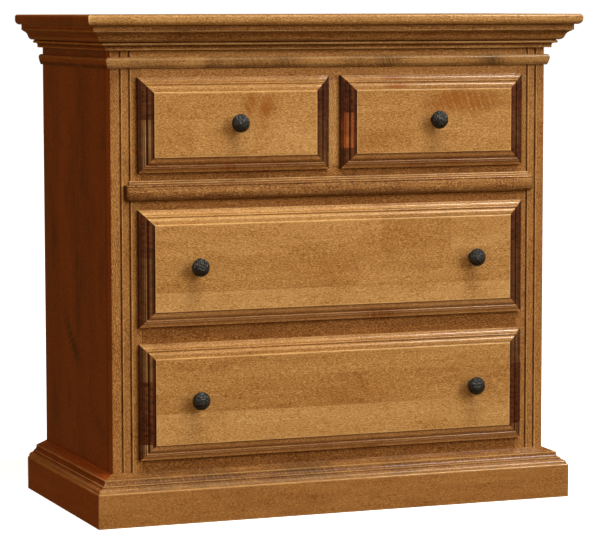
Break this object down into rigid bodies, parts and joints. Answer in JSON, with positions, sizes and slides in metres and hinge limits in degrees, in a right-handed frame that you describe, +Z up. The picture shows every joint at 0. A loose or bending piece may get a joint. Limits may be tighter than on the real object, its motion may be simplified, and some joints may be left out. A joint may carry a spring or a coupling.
{
  "type": "chest of drawers",
  "caption": "Bedside chest of drawers in stained maple with small drawers over wide ones, a crown moulding, a moulded middle rail, a stepped plinth and hammered iron knobs.",
  "frame": {"origin": "on the floor, under the middle of the chest's outer box", "axes": "+Z up, +X to the right of someone facing the drawers, +Y from the drawer fronts to the back"},
  "size_m": [0.91, 0.457, 0.864],
  "materials": {
    "top_maple": "satin lacquer over honey-brown stain",
    "frame_maple": "satin lacquer over honey-brown stain with dark glaze in the grooves",
    "moulding_maple": "satin lacquer over honey-brown stain with dark glaze in the quirks",
    "side_maple": "satin lacquer over dark red-brown stain",
    "drawer_front_maple": "satin lacquer over honey stain, end grain taken dark",
    "drawer_box_wood": "sanded and sealed",
    "inner_wood": "planed, unfinished",
    "plywood": "thin plywood, sealed",
    "knob_iron": "hammered, oil-rubbed, nearly black",
    "screw_steel": "zinc plated"
  },
  "bodies": {
    "case": {"top_board": "top_maple", "stile_left": "frame_maple", "stile_right": "frame_maple", "top_rail": "frame_maple", "middle_rail": "frame_maple", "lower_rail": "frame_maple", "bottom_rail": "frame_maple", "drawer_divider": "frame_maple", "crown_front": "moulding_maple", "crown_left": "moulding_maple", "crown_right": "moulding_maple", "astragal_front": "moulding_maple", "astragal_left": "moulding_maple", "astragal_right": "moulding_maple", "middle_rail_moulding": "moulding_maple", "plinth_front": "moulding_maple", "plinth_left": "moulding_maple", "plinth_right": "moulding_maple", "base_moulding_front": "moulding_maple", "base_moulding_left": "moulding_maple", "base_moulding_right": "moulding_maple", "side_panel_left": "side_maple", "side_panel_right": "side_maple", "back_panel": "plywood", "sub_top_panel": "inner_wood", "upper_dust_panel": "inner_wood", "lower_dust_panel": "inner_wood", "case_bottom_panel": "inner_wood", "centre_partition": "inner_wood", "drawer_guides": "inner_wood", "drawer_kickers": "inner_wood", "top_screws": "screw_steel"},
    "upper_left_drawer": {"upper_left_drawer_front": "drawer_front_maple", "upper_left_drawer_side_left": "drawer_box_wood", "upper_left_drawer_side_right": "drawer_box_wood", "upper_left_drawer_back": "drawer_box_wood", "upper_left_drawer_bottom": "plywood", "upper_left_drawer_knob": "knob_iron", "upper_left_drawer_knob_screw": "screw_steel"},
    "upper_right_drawer": {"upper_right_drawer_front": "drawer_front_maple", "upper_right_drawer_side_left": "drawer_box_wood", "upper_right_drawer_side_right": "drawer_box_wood", "upper_right_drawer_back": "drawer_box_wood", "upper_right_drawer_bottom": "plywood", "upper_right_drawer_knob": "knob_iron", "upper_right_drawer_knob_screw": "screw_steel"},
    "middle_drawer": {"middle_drawer_front": "drawer_front_maple", "middle_drawer_side_left": "drawer_box_wood", "middle_drawer_side_right": "drawer_box_wood", "middle_drawer_back": "drawer_box_wood", "middle_drawer_bottom": "plywood", "middle_drawer_knobs": "knob_iron", "middle_drawer_knob_screws": "screw_steel"},
    "lower_drawer": {"lower_drawer_front": "drawer_front_maple", "lower_drawer_side_left": "drawer_box_wood", "lower_drawer_side_right": "drawer_box_wood", "lower_drawer_back": "drawer_box_wood", "lower_drawer_bottom": "plywood", "lower_drawer_knobs": "knob_iron", "lower_drawer_knob_screws": "screw_steel"}
  },
  "joints": [
    {"name": "upper_left_drawer_slide", "type": "slide", "parent": "case", "child": "upper_left_drawer", "axis": [0, -1, 0], "range_m": [0, 0.28]},
    {"name": "upper_right_drawer_slide", "type": "slide", "parent": "case", "child": "upper_right_drawer", "axis": [0, -1, 0], "range_m": [0, 0.28]},
    {"name": "middle_drawer_slide", "type": "slide", "parent": "case", "child": "middle_drawer", "axis": [0, -1, 0], "range_m": [0, 0.28]},
    {"name": "lower_drawer_slide", "type": "slide", "parent": "case", "child": "lower_drawer", "axis": [0, -1, 0], "range_m": [0, 0.28]}
  ]
}
